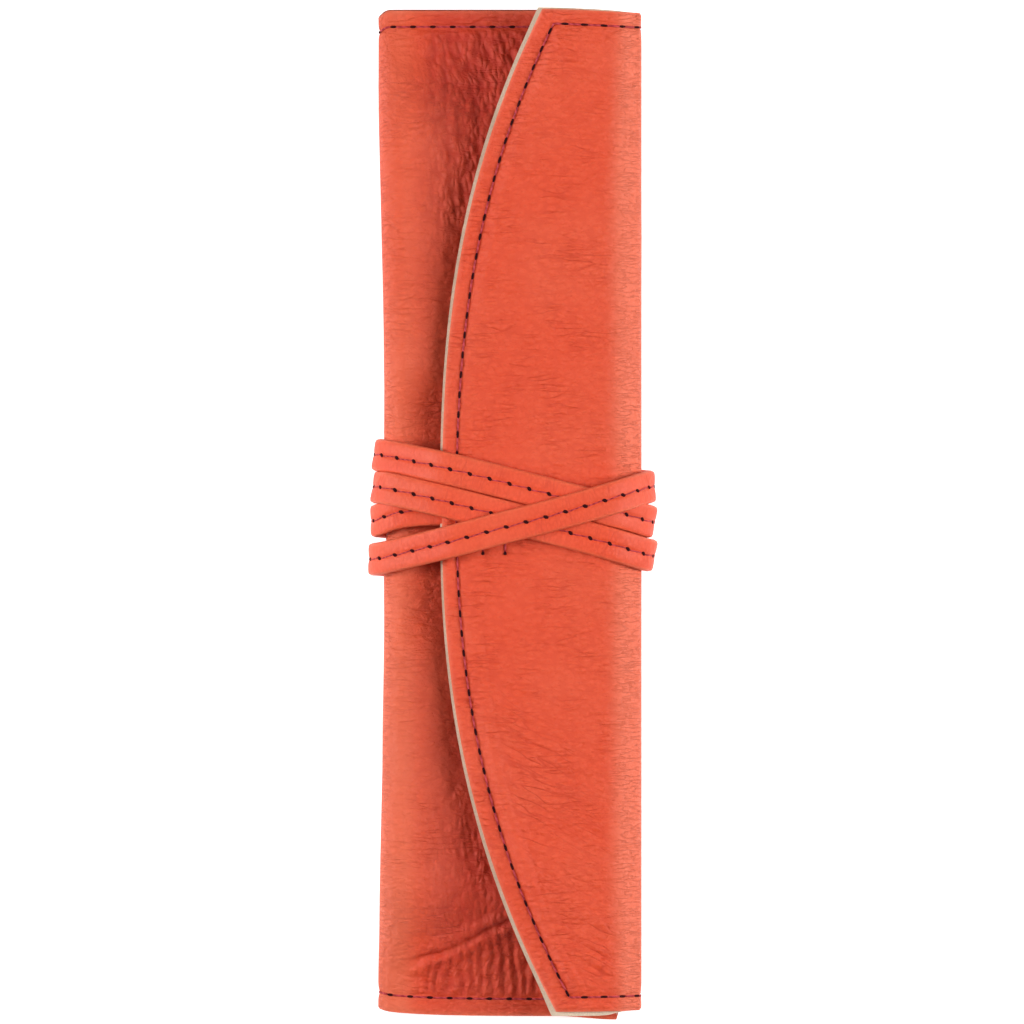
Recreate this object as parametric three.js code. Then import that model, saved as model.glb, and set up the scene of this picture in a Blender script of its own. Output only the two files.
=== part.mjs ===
// A soft leather pencil case, closed. A sewn pouch lies on its back, a side wall folds up from its
// right edge, and a flap with a curved edge comes over the mouth. A narrow strap, sewn inside the
// flap, is wound three times round the waist. Millimetres; +X to the right, +Y along the case,
// +Z up. The origin is at the middle of the back, on the surface that the case lies on.
import * as THREE from "three";

// Driving dimensions
const caseLength = 204.6;
const caseWidth = 52.2; // over the left fold and the right side wall
const foldHeight = 19; // from the back face to the outer face of the flap
const leatherThick = 1.2;
const liningThick = 0.7;
const layerGap = 0.3; // clearance between neighbouring layers
const flapRest = 0.6; // clearance of the flap over the pouch

const foldRadius = 6; // outer radius of the pouch's left fold
const mouthSetback = 5.6; // front panel's free edge, in from the back panel's right edge
const endFlat = 5.3; // sewn-flat length at each end of the pouch
const endTaper = 19; // length over which the pouch rises from the flat end
const endFlare = 1.4; // how much wider the flattened ends are, on the left
const flareStart = 45; // distance from the middle where the flare begins

const flapSetback = 11.1; // flap's edge, in from the left fold, at the waist
const headSweep = { rise: 20.4, power: 2.5 }; // how the flap's edge curves back to the head end
const footSweep = { rise: 23.2, power: 2.3 }; // and to the foot end
const flapDroop = 7; // how far the flap's corners hang below its middle
const liningShow = { middle: 0.3, ends: 0.8 }; // lining seen outside the flap's curved edge

const seamInset = 3;
const threadWide = 0.6;
const threadThick = 0.3;
const threadGap = 0.15;

const strapWide = 6.2;
const strapThick = 1.8;
const strapSideGap = 0.6; // clearance beside the two folds and over the flap
const strapBackGap = 0.3; // clearance under the back
const wallCorner = 1.2; // the strap's inner radius where it turns over the side wall
const waistFade = 11.5; // length over which the pouch swells again beside the strap
const rootLeftY = -2.1; // middle of the root run on the left fold, along Y
const firstRightY = -8.7; // middle of the first run on the side wall
const leftSpace = { first: 0.7, second: 0.4, third: 0.8 }; // between neighbouring runs
const rightSpace = { second: 0.9, third: 0.7, tail: 0.7 };
const rootY = 0.7; // where the strap comes out from under the flap
const rootEnd = -0.7; // sewn end of the strap, along X
const tailEnd = 10; // free end of the strap, along X

const patchThick = 0.7;
const patchMargin = 1.5; // leather round the anchor seam
const anchorSeam = { left: -6.2, right: -1.7, foot: -8.7, head: 7.6 };

// Values that follow from them
const halfLength = caseLength / 2;
const halfWidth = caseWidth / 2;
const wallMiddle = halfWidth - leatherThick / 2; // both hinge axes are on this plane
const lowerHinge = leatherThick / 2;
const upperHinge = foldHeight - leatherThick / 2;
const panelEnd = wallMiddle - leatherThick / 2 - layerGap;
const mouthEdge = panelEnd - mouthSetback;
const liningOffset = leatherThick + layerGap;
const lapThick = liningOffset + liningThick;
const flapUnderside = foldHeight - lapThick;
const bodyHeight = flapUnderside - flapRest;
const endHeight = 2 * lapThick + layerGap;
const taperEnd = halfLength - endFlat;
const taperStart = taperEnd - endTaper;
const endSeamLine = halfLength - seamInset;
const threadStand = threadGap + threadThick;

const wallLiningReach = leatherThick / 2 + layerGap + liningThick;
const liningSweep = Math.hypot(wallLiningReach, wallLiningReach + layerGap) + layerGap;
const liningEnd = wallMiddle - liningSweep;

const rootMiddle = flapUnderside - layerGap - threadStand - strapThick / 2;
const patchTop = rootMiddle - strapThick / 2 - layerGap;
const waistHeight = patchTop - patchThick - layerGap - threadGap;
const waistDip = strapBackGap + strapThick + threadStand + threadGap;

const strapOver = foldHeight + strapSideGap + strapThick / 2; // middle of the first layer on top
const strapStep = strapThick + strapSideGap; // from one layer of strap to the next
const strapUnder = waistDip - strapBackGap - strapThick / 2;
const strapSide = halfWidth + strapSideGap + strapThick / 2;
const flapEdgeMiddle = flapSetback - halfWidth;

// Middles of the strap's runs along Y, on the left fold and on the side wall
const strapLeft = { root: rootLeftY };
strapLeft.first = strapLeft.root + strapWide + leftSpace.first;
strapLeft.second = strapLeft.first + strapWide + leftSpace.second;
strapLeft.third = strapLeft.root - strapWide - leftSpace.third;
const strapRight = { first: firstRightY };
strapRight.second = strapRight.first + strapWide + rightSpace.second;
strapRight.third = strapRight.second + strapWide + rightSpace.third;
strapRight.tail = strapRight.first - strapWide - rightSpace.tail;

const waistHalf = strapWide / 2 - strapRight.tail; // half length of the band that the strap covers
const waistEnd = waistHalf + waistFade;

const leather = { color: 0xe2583e, roughness: 0.55, metalness: 0 };
const suede = { color: 0xcdb79b, roughness: 0.9, metalness: 0 };
const plumThread = { color: 0x7d2236, roughness: 0.7, metalness: 0 };

const { smoothstep, lerp } = THREE.MathUtils;

// The shape along the case

function waistShare(y) {
  return 1 - smoothstep(Math.abs(y), waistHalf, waistEnd);
}

function backFace(y) {
  return waistDip * waistShare(y);
}

function frontFace(y) {
  const tapered = lerp(bodyHeight, endHeight, smoothstep(Math.abs(y), taperStart, taperEnd));
  return lerp(tapered, waistHeight, waistShare(y));
}

function leftFold(y) {
  return -halfWidth - endFlare * smoothstep(Math.abs(y), flareStart, halfLength);
}

function foldCorner(y) {
  return Math.min(foldRadius, 0.48 * (frontFace(y) - backFace(y)));
}

function flapEdge(y) {
  const sweep = y > 0 ? headSweep : footSweep;
  return flapEdgeMiddle + sweep.rise * Math.abs(y / halfLength) ** sweep.power;
}

function liningEdge(y) {
  return flapEdge(y) - lerp(liningShow.middle, liningShow.ends, Math.abs(y / halfLength));
}

function flapFace(x, y) {
  const along = smoothstep(Math.abs(y), taperStart, halfLength);
  const across = Math.max(0, panelEnd - x) / (panelEnd - flapEdge(halfLength));
  return foldHeight - flapDroop * along * across;
}

function steps(from, to, count) {
  return Array.from({ length: count }, (_, k) => lerp(from, to, k / count));
}

function mirrored(half) {
  return [...half.slice(1).map((y) => -y).reverse(), ...half];
}

function lengthStations() {
  return mirrored([
    ...steps(0, waistHalf, 2),
    ...steps(waistHalf, waistEnd, 5),
    ...steps(waistEnd, taperStart, 4),
    ...steps(taperStart, taperEnd, 8),
    taperEnd,
    halfLength,
  ]);
}

function flapStations() {
  return mirrored([
    ...steps(0, taperStart, 11),
    ...steps(taperStart, endSeamLine, 9),
    endSeamLine,
    halfLength,
  ]);
}

// Solids

// A closed sheet from rows of point pairs, one point on each face, with walls round its edge.
function sheetSolid(rows) {
  const across = rows[0].length;
  const lastRow = rows.length - 1;
  const lastPair = across - 1;
  const positions = rows.flat(3);
  const face = (j, i) => 2 * (j * across + i);
  const back = (j, i) => face(j, i) + 1;
  const index = [];
  const quad = (a, b, c, d) => index.push(a, b, c, a, c, d);
  for (let j = 0; j < lastRow; j++) {
    for (let i = 0; i < lastPair; i++) {
      quad(face(j, i), face(j, i + 1), face(j + 1, i + 1), face(j + 1, i));
      quad(back(j, i), back(j + 1, i), back(j + 1, i + 1), back(j, i + 1));
    }
    quad(face(j, 0), face(j + 1, 0), back(j + 1, 0), back(j, 0));
    quad(face(j, lastPair), back(j, lastPair), back(j + 1, lastPair), face(j + 1, lastPair));
  }
  for (let i = 0; i < lastPair; i++) {
    quad(face(0, i + 1), face(0, i), back(0, i), back(0, i + 1));
    quad(face(lastRow, i), face(lastRow, i + 1), back(lastRow, i + 1), back(lastRow, i));
  }
  if (signedVolume(positions, index) < 0) {
    index.reverse();
  }
  const geometry = new THREE.BufferGeometry();
  geometry.setAttribute("position", new THREE.Float32BufferAttribute(positions, 3));
  geometry.setIndex(index);
  geometry.computeVertexNormals();
  return geometry;
}

function signedVolume(positions, index) {
  const corner = (k) => new THREE.Vector3().fromArray(positions, 3 * index[k]);
  let volume = 0;
  for (let k = 0; k < index.length; k += 3) {
    volume += corner(k).dot(corner(k + 1).cross(corner(k + 2))) / 6;
  }
  return volume;
}

// A flat band along a path of { point, normal } stations. Its faces are `from` and `to` out from
// the path, along the normals.
function bandSolid(stations, wide, from, to) {
  const rows = stations.map(({ point, normal }, k) => {
    const before = stations[Math.max(0, k - 1)].point;
    const after = stations[Math.min(stations.length - 1, k + 1)].point;
    const across = after.clone().sub(before).cross(normal).setLength(wide / 2);
    return [-1, 1].map((side) => {
      const edge = point.clone().addScaledVector(across, side);
      return [to, from].map((out) => edge.clone().addScaledVector(normal, out).toArray());
    });
  });
  return sheetSolid(rows);
}

// Stations on a surface whose height is given by `height(x, y)`, with its own normals
function seamStations(points, height) {
  return points.map(([x, y]) => {
    const slopeX = height(x + 0.5, y) - height(x - 0.5, y);
    const slopeY = height(x, y + 0.5) - height(x, y - 0.5);
    return {
      point: new THREE.Vector3(x, y, height(x, y)),
      normal: new THREE.Vector3(-slopeX, -slopeY, 1).normalize(),
    };
  });
}

// Pouch: front panel, left fold and back panel in one sheet

function pouchPath(y, depth, frontEnd, backEnd) {
  const corner = foldCorner(y);
  const centreX = leftFold(y) + corner;
  const arc = (centreZ, fromDegrees) =>
    [0, 18, 36, 54, 72, 90].map((turn) => {
      const angle = THREE.MathUtils.degToRad(fromDegrees + turn);
      const radius = corner - depth;
      return [centreX + radius * Math.cos(angle), y, centreZ + radius * Math.sin(angle)];
    });
  return [
    [frontEnd, y, frontFace(y) - depth],
    ...arc(frontFace(y) - corner, 90),
    ...arc(backFace(y) + corner, 180),
    [backEnd, y, backFace(y) + depth],
  ];
}

function pouchSheet(depth, thick, frontEnd, backEnd) {
  const rows = lengthStations().map((y) => {
    const outer = pouchPath(y, depth, frontEnd, backEnd);
    const inner = pouchPath(y, depth + thick, frontEnd, backEnd);
    return outer.map((point, k) => [point, inner[k]]);
  });
  return sheetSolid(rows);
}

function endSeam(side) {
  const y = side * endSeamLine;
  const from = leftFold(y) + foldCorner(y);
  const points = [...steps(from, mouthEdge - seamInset, 6), mouthEdge - seamInset].map((x) => [x, y]);
  return bandSolid(seamStations(points, (_, at) => frontFace(at)), threadWide, threadGap, threadStand);
}

function mouthSeam() {
  const end = taperEnd - seamInset;
  const points = lengthStations()
    .filter((y) => Math.abs(y) <= end)
    .map((y) => [mouthEdge - seamInset, y]);
  return bandSolid(seamStations(points, (_, at) => frontFace(at)), threadWide, threadGap, threadStand);
}

// Right side wall: a strip with a hinge line along each long edge

function wallLeather() {
  const round = [0, 30, 60, 90].map((degrees) => THREE.MathUtils.degToRad(degrees));
  const rows = lengthStations().map((y) => {
    const radius = leatherThick / 2;
    const low = lowerHinge + backFace(y);
    const rim = round.map((angle) => ({
      reach: radius * Math.max(0.2, Math.sin(angle)),
      past: radius * Math.cos(angle),
    }));
    const lower = rim.map(({ reach, past }) => [reach, low - past]);
    const upper = rim.map(({ reach, past }) => [reach, upperHinge + past]).reverse();
    return [...lower, ...upper].map(([reach, z]) => [
      [wallMiddle + reach, y, z],
      [wallMiddle - reach, y, z],
    ]);
  });
  return sheetSolid(rows);
}

function wallLining() {
  const outer = wallMiddle - leatherThick / 2 - layerGap;
  const rows = lengthStations().map((y) =>
    [backFace(y) + lapThick + layerGap, flapUnderside - layerGap].map((z) => [
      [outer, y, z],
      [outer - liningThick, y, z],
    ]),
  );
  return sheetSolid(rows);
}

// Flap

function flapSheet(edge, rightEnd, depth, thick) {
  const rows = flapStations().map((y) =>
    [...steps(edge(y), rightEnd, 5), rightEnd].map((x) => {
      const top = flapFace(x, y) - depth;
      return [
        [x, y, top],
        [x, y, top - thick],
      ];
    }),
  );
  return sheetSolid(rows);
}

function flapSeam() {
  const slope = (y) => flapEdge(y + 0.5) - flapEdge(y - 0.5);
  const line = (y) => flapEdge(y) + seamInset * Math.hypot(1, slope(y));
  const rightEnd = panelEnd - 1;
  const points = [
    ...steps(rightEnd, line(-endSeamLine), 4).map((x) => [x, -endSeamLine]),
    ...flapStations().slice(1, -1).map((y) => [line(y), y]),
    ...steps(rightEnd, line(endSeamLine), 4).map((x) => [x, endSeamLine]).reverse(),
  ];
  return bandSolid(seamStations(points, flapFace), threadWide, threadGap, threadStand);
}

function anchorPatch() {
  const { left, right, foot, head } = anchorSeam;
  const rows = [foot - patchMargin, head + patchMargin].map((y) =>
    [left - patchMargin, right + patchMargin].map((x) => [
      [x, y, patchTop],
      [x, y, patchTop - patchThick],
    ]),
  );
  return sheetSolid(rows);
}

// Two rows of stitches, joined across their head end
function anchorSeamThread() {
  const { left, right, foot, head } = anchorSeam;
  const points = [
    [left, foot],
    [left, head],
    [right, head],
    [right, foot],
  ];
  return bandSolid(seamStations(points, flapFace), threadWide, threadGap, threadStand);
}

// Strap: each run crosses the top to the left, goes down the left fold, back under the case and
// up the right wall. Runs lie side by side, and the third crosses over the other two.

const leftCorner = foldCorner(0);
const leftCentre = leftCorner - halfWidth;
const leftReach = strapSide + leftCentre; // from the centre of the fold's bend to the strap
const upperLeft = { x: leftCentre, z: waistHeight - leftCorner };
const lowerLeft = { x: leftCentre, z: waistDip + leftCorner };
const rightCentre = halfWidth - wallCorner;
const rightReach = strapSide - rightCentre;
const upperRight = { x: rightCentre, z: foldHeight - wallCorner };
const lowerRight = { x: rightCentre, z: waistDip + wallCorner };

function cornerArc(centre, reachX, reachZ, fromDegrees, toDegrees, count) {
  return [...steps(fromDegrees, toDegrees, count), toDegrees].map((degrees) => {
    const angle = THREE.MathUtils.degToRad(degrees);
    return [
      centre.x + reachX(degrees) * Math.cos(angle),
      centre.z + reachZ(degrees) * Math.sin(angle),
    ];
  });
}

// Over the left fold, from where the strap meets the bend after it leaves the top. `lift` keeps a
// run that starts out over another one that much farther from the fold.
function upperLeftArc([leaveX, leaveZ], lift) {
  const dx = leaveX - upperLeft.x;
  const dz = leaveZ - upperLeft.z;
  const meet = Math.atan2(dz, dx) + Math.acos((leftReach + lift) / Math.hypot(dx, dz));
  const from = THREE.MathUtils.radToDeg(meet);
  const reach = (degrees) => leftReach + lift * (1 - smoothstep(degrees, from, 170));
  return cornerArc(upperLeft, reach, reach, from, 180, 6);
}

function lowerLeftArc() {
  const reachX = () => leftReach;
  const reachZ = () => lowerLeft.z - strapUnder;
  return cornerArc(lowerLeft, reachX, reachZ, 180, 270, 6);
}

function lowerRightArc() {
  const reachX = () => rightReach;
  const reachZ = () => lowerRight.z - strapUnder;
  return cornerArc(lowerRight, reachX, reachZ, -90, 0, 5);
}

function upperRightArc(lift) {
  const reach = (degrees) => rightReach + lift * smoothstep(degrees, 10, 60);
  return cornerArc(upperRight, reach, reach, 0, 90, 7);
}

function level(from, to, height, count) {
  return steps(from, to, count).slice(1).map((x) => [x, height]);
}

// One turn: over the top, round the left fold and back under the case
function strapTurn({ start, over, lift, overY, backY, end }) {
  const at = (y) => ([x, z]) => new THREE.Vector3(x, y(x), z);
  return [
    ...[...start, ...over, ...upperLeftArc(over.at(-1), lift)].map(at(overY)),
    ...[...lowerLeftArc(), ...end].map(at(backY)),
  ];
}

function strapRoute() {
  const across = (left, right) => (x) => lerp(left, right, (x + strapSide) / (2 * strapSide));
  const rootLeave = flapEdgeMiddle - 0.5;
  const rootTurn = (x) =>
    lerp(strapLeft.root, rootY, smoothstep(x, leftCentre - 2, flapEdgeMiddle));
  const under = [...level(leftCentre, rightCentre, strapUnder, 5), ...lowerRightArc()];
  const tail = [...level(leftCentre, tailEnd, strapUnder, 5), [tailEnd, strapUnder]];
  const overFlap = [...level(rightCentre, rootLeave, strapOver, 6), [rootLeave, strapOver]];
  const thirdHeight = strapOver + strapStep;
  const thirdLeave = flapEdgeMiddle + 2;
  return [
    {
      start: [],
      over: [rootEnd, (rootEnd + rootLeave) / 2, rootLeave].map((x) => [x, rootMiddle]),
      lift: 0,
      overY: rootTurn,
      backY: across(strapLeft.root, strapRight.first),
      end: under,
    },
    {
      start: upperRightArc(0),
      over: overFlap,
      lift: strapStep,
      overY: across(strapLeft.first, strapRight.first),
      backY: across(strapLeft.first, strapRight.second),
      end: under,
    },
    {
      start: upperRightArc(0),
      over: overFlap,
      lift: 0,
      overY: across(strapLeft.second, strapRight.second),
      backY: across(strapLeft.second, strapRight.third),
      end: under,
    },
    {
      start: upperRightArc(strapStep),
      over: [...level(rightCentre, thirdLeave, thirdHeight, 6), [thirdLeave, thirdHeight]],
      lift: 0,
      overY: across(strapLeft.third, strapRight.third),
      backY: across(strapLeft.third, strapRight.tail),
      end: tail,
    },
  ].flatMap(strapTurn);
}

function strapStations() {
  const route = strapRoute();
  return route.map((point, k) => {
    const before = route[Math.max(0, k - 1)];
    const after = route[Math.min(route.length - 1, k + 1)];
    const run = after.clone().sub(before);
    return { point, normal: new THREE.Vector3(run.z, 0, -run.x).normalize() };
  });
}

// The assembly

const pencilCase = new THREE.Group();

function add(name, geometry, finish) {
  const mesh = new THREE.Mesh(geometry, new THREE.MeshStandardMaterial(finish));
  mesh.name = name;
  pencilCase.add(mesh);
}

add("pouch_leather", pouchSheet(0, leatherThick, mouthEdge, panelEnd), leather);
add("pouch_lining", pouchSheet(liningOffset, liningThick, mouthEdge, liningEnd), suede);
add("head_seam_thread", endSeam(1), plumThread);
add("foot_seam_thread", endSeam(-1), plumThread);
add("mouth_seam_thread", mouthSeam(), plumThread);

add("fold_leather", wallLeather(), leather);
add("fold_lining", wallLining(), suede);

add("flap_leather", flapSheet(flapEdge, panelEnd, 0, leatherThick), leather);
add("flap_lining", flapSheet(liningEdge, liningEnd, liningOffset, liningThick), suede);
add("flap_seam_thread", flapSeam(), plumThread);
add("anchor_patch", anchorPatch(), leather);
add("anchor_seam_thread", anchorSeamThread(), plumThread);

const strap = strapStations();
const halfStrap = strapThick / 2;
add("wrap_strap", bandSolid(strap, strapWide, -halfStrap, halfStrap), leather);
add(
  "strap_seam_thread",
  bandSolid(strap, threadWide, halfStrap + threadGap, halfStrap + threadStand),
  plumThread,
);

export default pencilCase;
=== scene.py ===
"""The looks of a slim coral leather pencil case, closed with a wound strap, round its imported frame.

Shapes are worked out in millimetres, in the frame's axes: +X from the folded edge to the side wall,
+Y along the case to its head end, +Z up through the flap. Meshes are written in metres.
"""

import math

import bpy
import numpy as np
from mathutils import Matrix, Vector


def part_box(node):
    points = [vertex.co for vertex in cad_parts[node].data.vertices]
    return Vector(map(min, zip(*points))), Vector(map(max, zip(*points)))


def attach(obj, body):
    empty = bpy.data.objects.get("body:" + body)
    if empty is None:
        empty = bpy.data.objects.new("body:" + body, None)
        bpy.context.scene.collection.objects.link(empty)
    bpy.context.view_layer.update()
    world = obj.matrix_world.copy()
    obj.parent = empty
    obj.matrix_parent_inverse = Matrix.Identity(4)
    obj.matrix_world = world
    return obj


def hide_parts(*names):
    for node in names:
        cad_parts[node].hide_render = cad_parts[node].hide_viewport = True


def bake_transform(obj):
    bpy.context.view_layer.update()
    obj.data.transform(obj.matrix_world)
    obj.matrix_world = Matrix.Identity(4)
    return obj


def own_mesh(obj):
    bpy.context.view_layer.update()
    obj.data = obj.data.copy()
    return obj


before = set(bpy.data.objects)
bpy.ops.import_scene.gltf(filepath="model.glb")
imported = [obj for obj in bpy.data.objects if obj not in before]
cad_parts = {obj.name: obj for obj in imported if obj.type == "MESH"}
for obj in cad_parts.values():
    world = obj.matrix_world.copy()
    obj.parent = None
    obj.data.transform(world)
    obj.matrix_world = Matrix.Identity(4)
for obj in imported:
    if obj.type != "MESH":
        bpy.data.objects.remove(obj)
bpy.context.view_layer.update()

MM = 0.001


def node_box(name):
    low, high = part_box(name)
    return np.array(low) / MM, np.array(high) / MM


_, pouch_high = node_box("pouch_leather")
_, wall_high = node_box("fold_leather")
flap_low, _ = node_box("flap_leather")

HALF_LENGTH = pouch_high[1]
WALL_X = wall_high[0]  # outer face of the side wall
LEFT_X = -WALL_X  # CAD's outer face of the left fold
TOP_Z = wall_high[2]  # outer face of the flap, beside the wall
BODY_Z = pouch_high[2]  # front panel, away from the waist and the ends

# Leather and lining
LEATHER = 1.2
LINING = 0.7
LINING_AT = LEATHER + 0.05  # depth of the lining's outer face
END_Z = 4.7  # height of the sewn-flat ends
TAPER = (74, 98)  # where the pouch narrows to them, from the middle
LEFT_BULGE = 0.25  # how far the soft fold stands out past the CAD face
FLARE = 1.3  # how much wider the flat ends are
WAIST = (18.7, 31)  # half length of the strapped band, and where its pull has faded
WAIST_BACK = 2.7  # how far the strap pulls the back up
WAIST_FRONT = 13.0  # height of the front panel under the strap
SAG = 4.1  # how far the front panel sinks towards the mouth
PINCH = 0.45  # how far the strap squeezes the side edges in
PINCHED = {"left": (1.0, 10.5, 13.5), "right": (-1.7, 7.0, 10.0)}  # middle, half length, its end
MOUTH_X = 21.0  # the front panel's free edge, under the flap
LEFT_RADIUS = 4.6  # of the left fold's two rounded edges
BACK_RADIUS = 5.0  # lower bend of the side wall
BEND_PARTS = (4.0, 1.8, 7.5)  # upper bend: turn from the wall, slanting part, turn to the flap
CUT_Z = 8.0  # where the two leather pieces meet on the side wall

# Flap
EDGE_MIDDLE = flap_low[0] + 0.45  # its curved edge, at the waist
HEAD_SWEEP = (20.4, 2.5)  # how far the edge has come in by the end, and the curve's power
FOOT_SWEEP = (23.2, 2.3)
LINING_SHOW = (0.35, 0.85)  # lining seen outside the flap's edge: middle, ends
STRAP_PRESS = 0.4  # how far the strap presses the flap in

# End edges, from the middle of the case
POUCH_HEAD = 102.7
POUCH_FOOT = 102.9
FLAP_HEAD = (102.6, 101.8)  # near its curved edge, and at the side wall
FLAP_FOOT = (101.7, 101.4)
LINING_SHORT = 0.9  # how far inside the leather's end the pouch's lining ends
LINING_PAST = 0.3  # how far it comes out of the mouth

# Seams
SEAM_INSET = 3.0  # from the flap's ends, and from the mouth
SEAM_Y = HALF_LENGTH - SEAM_INSET
POUCH_SEAM_Y = HALF_LENGTH - 3.5
EDGE_INSET = {"middle": 2.9, "head": 3.4, "foot": 3.8}  # of the flap's seam from its curved edge
PITCH = 4.05

# Stitches: a hole's (half length, half width) and a thread's (radius, arch)
POUCH_STITCH = {"hole": (0.7, 0.27), "thread": (0.2, 0.03)}
FLAP_STITCH = {"hole": (0.95, 0.25), "thread": (0.21, 0.04)}
ANCHOR_STITCH = {"hole": (0.5, 0.32), "thread": (0.24, 0.08)}
STRAP_STITCH = {"hole": (0.52, 0.38), "thread": (0.14, 0.0), "pitch": 4.15, "sink": 0.2, "lean": 0.3}

# Strap
STRAP_WIDE = 6.65
STRAP_THICK = 1.85
LAYER = STRAP_THICK + 0.1  # how much higher a run lies on another
STRAP_SLACK = 1.0  # between the strap and the side wall
STRAP_CLEAR = {"flap": 0.12, "back": 0.3, "lining": 0.25}
LEFT_Y = {"root": -1.7, "first": 5.2, "second": 11.8, "third": -9.5}  # where each crosses the left edge
RIGHT_Y = {"first": -8.7, "second": -1.85, "third": 5.3, "tail": -15.6}
BOW = {"first": 0.45, "second": 0.65, "third": -0.5}  # how far each run curves off a straight line

# Mesh fineness: rows along the case, and columns round it or across it
ROWS = 400
LINING_ROWS = 120
FLAP_LINING_ROWS = 160
BODY_COLUMNS = (92, 18, 6, 18, 52, 12, 6)  # front, upper arc, left side, lower arc, back, bend, wall
LINING_COLUMNS = (48, 8, 4, 8, 36, 4, 4)
FLAP_COLUMNS = 96
FLAP_LINING_COLUMNS = 56


# Small helpers


def lerp(a, b, t):
    return a + (b - a) * t


def smooth(value, low, high):
    t = np.clip((value - low) / (high - low), 0, 1)
    return t * t * (3 - 2 * t)


def bump_at(value, middle, width):
    return np.exp(-(((value - middle) / width) ** 2))


def lattice(i, j, seed):
    """A fixed random number from 0 to 1 for each whole-number place."""
    mixed = np.sin(i * 127.1 + j * 311.7 + seed * 74.7) * 43758.5453
    return mixed - np.floor(mixed)


def noise(x, y, seed):
    """Smooth value noise, from -1 to 1."""
    i, j = np.floor(x), np.floor(y)
    u, v = x - i, y - j
    u = u * u * u * (u * (6 * u - 15) + 10)
    v = v * v * v * (v * (6 * v - 15) + 10)
    low = lerp(lattice(i, j, seed), lattice(i + 1, j, seed), u)
    high = lerp(lattice(i, j + 1, seed), lattice(i + 1, j + 1, seed), u)
    return 2 * lerp(low, high, v) - 1


def ridges(x, y, seed):
    """Rounded lumps from 0 to 1 with sharp valleys between them."""
    coarse = np.abs(noise(x, y, seed))
    fine = np.abs(noise(2.1 * x + 7, 2.1 * y + 3, seed + 1))
    return np.minimum(1, 1.6 * coarse) * 0.7 + np.minimum(1, 1.6 * fine) * 0.3


def pebbles(x, y, seed):
    """Round lumps from 0 to 1, with narrow valleys where they meet."""
    i, j = np.floor(x), np.floor(y)
    nearest = np.full(np.shape(x), 9.0)
    for di in (-1, 0, 1):
        for dj in (-1, 0, 1):
            px = i + di + 0.15 + 0.7 * lattice(i + di, j + dj, seed)
            py = j + dj + 0.15 + 0.7 * lattice(i + di, j + dj, seed + 5)
            nearest = np.minimum(nearest, (px - x) ** 2 + (py - y) ** 2)
    return np.clip(1 - 1.5 * nearest, 0, 1)


# The pouch's shape along the case


def waist(y):
    return 1 - smooth(np.abs(y), *WAIST)


def back_z(y):
    return WAIST_BACK * waist(y)


def front_z(y):
    tapered = lerp(BODY_Z, END_Z, smooth(np.abs(y), *TAPER))
    return lerp(tapered, WAIST_FRONT, waist(y))


def pinch(y, side):
    middle, full, end = PINCHED[side]
    return PINCH * (1 - smooth(np.abs(y - middle), full, end))


def left_x(y):
    return LEFT_X - LEFT_BULGE - FLARE * smooth(np.abs(y), 20, HALF_LENGTH + 2) + pinch(y, "left")


def wall_x(y):
    return WALL_X - pinch(y, "right")


def sag(x, y):
    depth = SAG * (1 - 0.45 * waist(y)) * (1 - smooth(np.abs(y), 80, 98))
    return depth * smooth(x, LEFT_X - 0.5, -7.5)


def flap_edge(y):
    rise = np.where(y > 0, HEAD_SWEEP[0], FOOT_SWEEP[0])
    power = np.where(y > 0, HEAD_SWEEP[1], FOOT_SWEEP[1])
    return EDGE_MIDDLE + rise * np.abs(y / HALF_LENGTH) ** power


def under_end(x, head):
    """Where the pouch's end edge lies, from the middle, at the head or the foot."""
    corner = 1.1 * np.clip((LEFT_X + 1.0 - x) / 2.4, 0, 1) ** 2
    if head:
        return POUCH_HEAD - corner - 0.9 * smooth(x, 14, WALL_X)
    slope = 1.0 * np.exp(-np.clip(x - LEFT_X, 0, None) / 8)
    return POUCH_FOOT - slope - 0.4 * corner + 0.7 * smooth(x, 9, 21) - 2.2 * smooth(x, 21.2, 21.7)


def flap_end(x, head):
    if head:
        return lerp(*FLAP_HEAD, smooth(x, 4, WALL_X))
    return lerp(*FLAP_FOOT, smooth(x, 6, WALL_X))


def real_y(y, x, end):
    """Turns a nominal place along the case into the real one, which follows the end edges."""
    limit = np.where(y > 0, end(x, True), end(x, False))
    return y / HALF_LENGTH * limit


# Leather skins as grids of points: rows along the case, columns round it


def straight(start, stop, count):
    t = np.arange(count) / count
    return start[:, None, :] + (stop - start)[:, None, :] * t[None, :, None]


def arc(centre, radius, first, last, count):
    angle = np.radians(lerp(first, last, np.arange(count) / count))
    turn = np.stack([np.cos(angle), np.sin(angle)], -1)
    return centre[:, None, :] + radius[:, None, None] * turn[None]


def pairs(x, z):
    x, z = np.broadcast_arrays(x, z)
    return np.stack([x, z], -1).astype(float)


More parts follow.
